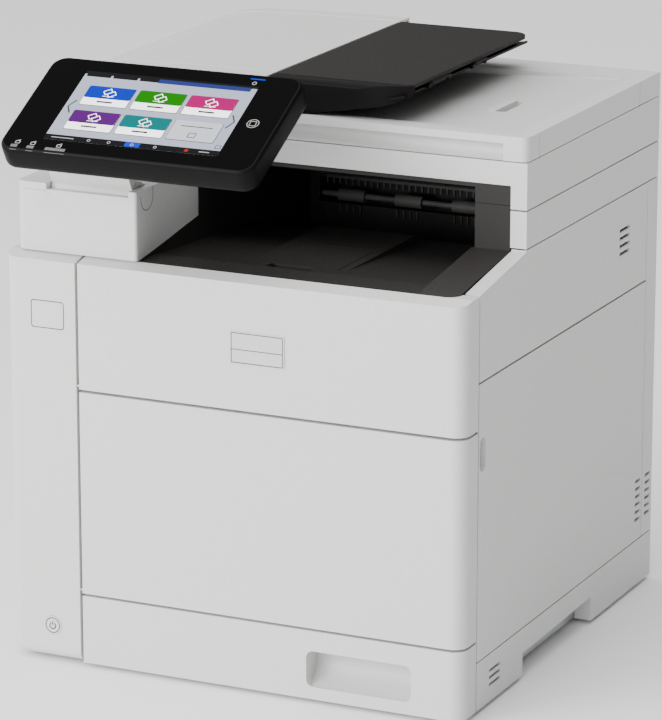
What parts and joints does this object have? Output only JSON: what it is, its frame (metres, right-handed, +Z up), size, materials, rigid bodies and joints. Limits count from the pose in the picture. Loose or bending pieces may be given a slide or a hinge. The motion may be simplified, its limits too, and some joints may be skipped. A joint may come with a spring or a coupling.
{
  "type": "desktop photocopier with document feeder",
  "caption": "Desktop colour copier: printer body with fold-down covers and paper cassette, flatbed scanner with hinged lid and sheet feeder, tilting touch panel",
  "frame": {"origin": "on the floor under the middle of the overall footprint", "axes": "+X to the right seen from the front, +Y to the back, +Z up"},
  "size_m": [0.42, 0.4746, 0.5016],
  "materials": {
    "white_shell": "fine matt texture",
    "dark_shell": "fine matt texture",
    "inner_plastic": "satin",
    "grey_plastic": "satin",
    "black_gloss": "gloss",
    "sheet_steel": "zinc plated",
    "glass": "clear",
    "screen": "smooth",
    "rubber": "matt",
    "belt": "gloss",
    "board": "solder mask",
    "foam_sheet": "soft white film",
    "toner_body": "satin"
  },
  "bodies": {
    "frame": {"front_left_column": "white_shell", "right_upper_cover": "white_shell", "right_lower_cover": "white_shell", "left_side_cover": "white_shell", "rear_cover": "white_shell", "base_rails": "white_shell", "base_plate": "sheet_steel", "rubber_feet": "rubber", "exit_frame": "white_shell", "cover_screws": "sheet_steel", "output_tray": "inner_plastic", "cavity_liner": "inner_plastic", "exit_guide_comb": "grey_plastic", "scanner_housing": "white_shell", "scanner_tub": "inner_plastic", "platen_glass": "glass", "lid_hinges": "sheet_steel", "panel_mount": "white_shell", "main_frame": "sheet_steel", "inner_front_panel": "inner_plastic", "toner_cartridges": "toner_body", "laser_unit": "inner_plastic", "drum_units": "inner_plastic", "transfer_belt": "belt", "fuser_housing": "inner_plastic", "main_board": "board", "power_inlet": "black_gloss"},
    "button": {"power_button": "white_shell"},
    "upper_front": {"front_cover": "white_shell", "brand_plate": "grey_plastic"},
    "bypass": {"bypass_cover": "white_shell"},
    "bypass_left": {"bypass_guide_left": "grey_plastic"},
    "bypass_right": {"bypass_guide_right": "grey_plastic"},
    "cassette": {"cassette_front": "white_shell", "cassette_body": "inner_plastic"},
    "lift": {"lift_plate": "sheet_steel"},
    "paper_left": {"cassette_guide_left": "grey_plastic"},
    "paper_right": {"cassette_guide_right": "grey_plastic"},
    "paper_end": {"cassette_end_guide": "grey_plastic"},
    "rear_door": {"rear_access_door": "white_shell"},
    "flap": {"output_flap": "inner_plastic"},
    "exit_shaft": {"exit_roller": "rubber"},
    "carriage": {"scan_carriage": "inner_plastic"},
    "lid": {"lid_shell": "white_shell", "pressure_pad": "foam_sheet", "feeder_base": "white_shell", "feeder_table": "dark_shell"},
    "stop": {"document_stop": "white_shell"},
    "feeder_top": {"feeder_cover": "white_shell"},
    "feed_shaft": {"feeder_feed_roller": "rubber"},
    "leaf": {"feeder_leaf": "dark_shell"},
    "originals_front": {"feeder_guide_front": "grey_plastic"},
    "originals_rear": {"feeder_guide_rear": "grey_plastic"},
    "panel": {"panel_arm": "white_shell", "panel_shell": "dark_shell", "panel_glass": "black_gloss", "panel_display": "screen"},
    "bypass_shaft": {"bypass_feed_roller": "rubber"},
    "heat_shaft": {"fuser_heat_roller": "rubber"},
    "pressure_shaft": {"fuser_pressure_roller": "rubber"}
  },
  "joints": [
    {"name": "power_press", "type": "slide", "parent": "frame", "child": "button", "axis": [0, 1, 0], "range_m": [0, 0.002], "stiffness_N_per_m": 500},
    {"name": "front_cover_hinge", "type": "hinge", "parent": "frame", "child": "upper_front", "pos_m": [-0.131, -0.1882, 0.2414], "axis": [1, 0, 0], "range_deg": [0, 90]},
    {"name": "bypass_hinge", "type": "hinge", "parent": "frame", "child": "bypass", "pos_m": [-0.131, -0.1882, 0.0668], "axis": [1, 0, 0], "range_deg": [0, 72]},
    {"name": "bypass_guides", "type": "slide", "parent": "bypass", "child": "bypass_left", "axis": [1, 0, 0], "range_m": [0, 0.055]},
    {"name": "bypass_guide_far", "type": "slide", "parent": "bypass", "child": "bypass_right", "axis": [1, 0, 0], "range_m": [-0.055, 0]},
    {"name": "cassette_slide", "type": "slide", "parent": "frame", "child": "cassette", "axis": [0, -1, 0], "range_m": [0, 0.3]},
    {"name": "lift_hinge", "type": "hinge", "parent": "cassette", "child": "lift", "pos_m": [0.038, -0.0402, 0.0129], "axis": [1, 0, 0], "range_deg": [0, 8]},
    {"name": "cassette_guides", "type": "slide", "parent": "cassette", "child": "paper_left", "axis": [1, 0, 0], "range_m": [0, 0.045]},
    {"name": "cassette_guide_far", "type": "slide", "parent": "cassette", "child": "paper_right", "axis": [1, 0, 0], "range_m": [-0.045, 0]},
    {"name": "end_guide", "type": "slide", "parent": "cassette", "child": "paper_end", "axis": [0, 1, 0], "range_m": [0, 0.09]},
    {"name": "rear_door_hinge", "type": "hinge", "parent": "frame", "child": "rear_door", "pos_m": [0.022, 0.22655, 0.122], "axis": [-1, 0, 0], "range_deg": [0, 85]},
    {"name": "output_flap_hinge", "type": "hinge", "parent": "frame", "child": "flap", "pos_m": [0.035, -0.0521, 0.3437], "axis": [-1, 0, 0], "range_deg": [0, 45]},
    {"name": "exit_roller_turn", "type": "hinge", "parent": "frame", "child": "exit_shaft", "pos_m": [0, 0.1508, 0.338], "axis": [1, 0, 0], "continuous": true},
    {"name": "scan_travel", "type": "slide", "parent": "frame", "child": "carriage", "axis": [1, 0, 0], "range_m": [0, 0.315]},
    {"name": "lid_hinge", "type": "hinge", "parent": "frame", "child": "lid", "pos_m": [0, 0.2328, 0.4347], "axis": [-1, 0, 0], "range_deg": [0, 60]},
    {"name": "document_stop_hinge", "type": "hinge", "parent": "lid", "child": "stop", "pos_m": [0.1345, 0.0498, 0.4513], "axis": [0, -1, 0], "range_deg": [0, 50]},
    {"name": "feeder_cover_hinge", "type": "hinge", "parent": "lid", "child": "feeder_top", "pos_m": [-0.204, 0.0798, 0.462], "axis": [0, -1, 0], "range_deg": [0, 80]},
    {"name": "feed_roller_turn", "type": "hinge", "parent": "lid", "child": "feed_shaft", "pos_m": [-0.07, 0.0798, 0.466], "axis": [0, 1, 0], "continuous": true},
    {"name": "leaf_hinge", "type": "hinge", "parent": "lid", "child": "leaf", "pos_m": [0.1, 0.0738, 0.4795], "axis": [0, 1, 0], "range_deg": [0, 165]},
    {"name": "originals_guides", "type": "slide", "parent": "lid", "child": "originals_front", "axis": [0, 1, 0], "range_m": [0, 0.07]},
    {"name": "originals_guide_far", "type": "slide", "parent": "lid", "child": "originals_rear", "axis": [0, 1, 0], "range_m": [-0.07, 0]},
    {"name": "panel_tilt", "type": "hinge", "parent": "frame", "child": "panel", "pos_m": [-0.127, -0.1592, 0.3975], "axis": [1, 0, 0], "range_deg": [-25, 20]},
    {"name": "bypass_roller_turn", "type": "hinge", "parent": "frame", "child": "bypass_shaft", "pos_m": [0.038, -0.1502, 0.096], "axis": [1, 0, 0], "continuous": true},
    {"name": "heat_roller_turn", "type": "hinge", "parent": "frame", "child": "heat_shaft", "pos_m": [0.03, 0.1678, 0.252], "axis": [1, 0, 0], "continuous": true},
    {"name": "pressure_roller_turn", "type": "hinge", "parent": "frame", "child": "pressure_shaft", "pos_m": [0.03, 0.1961, 0.252], "axis": [1, 0, 0], "continuous": true}
  ],
  "couplings": [
    {"joint": "bypass_guide_far", "follows": "bypass_guides", "ratio": -1},
    {"joint": "cassette_guide_far", "follows": "cassette_guides", "ratio": -1},
    {"joint": "originals_guide_far", "follows": "originals_guides", "ratio": -1},
    {"joint": "pressure_roller_turn", "follows": "heat_roller_turn", "ratio": -1}
  ]
}
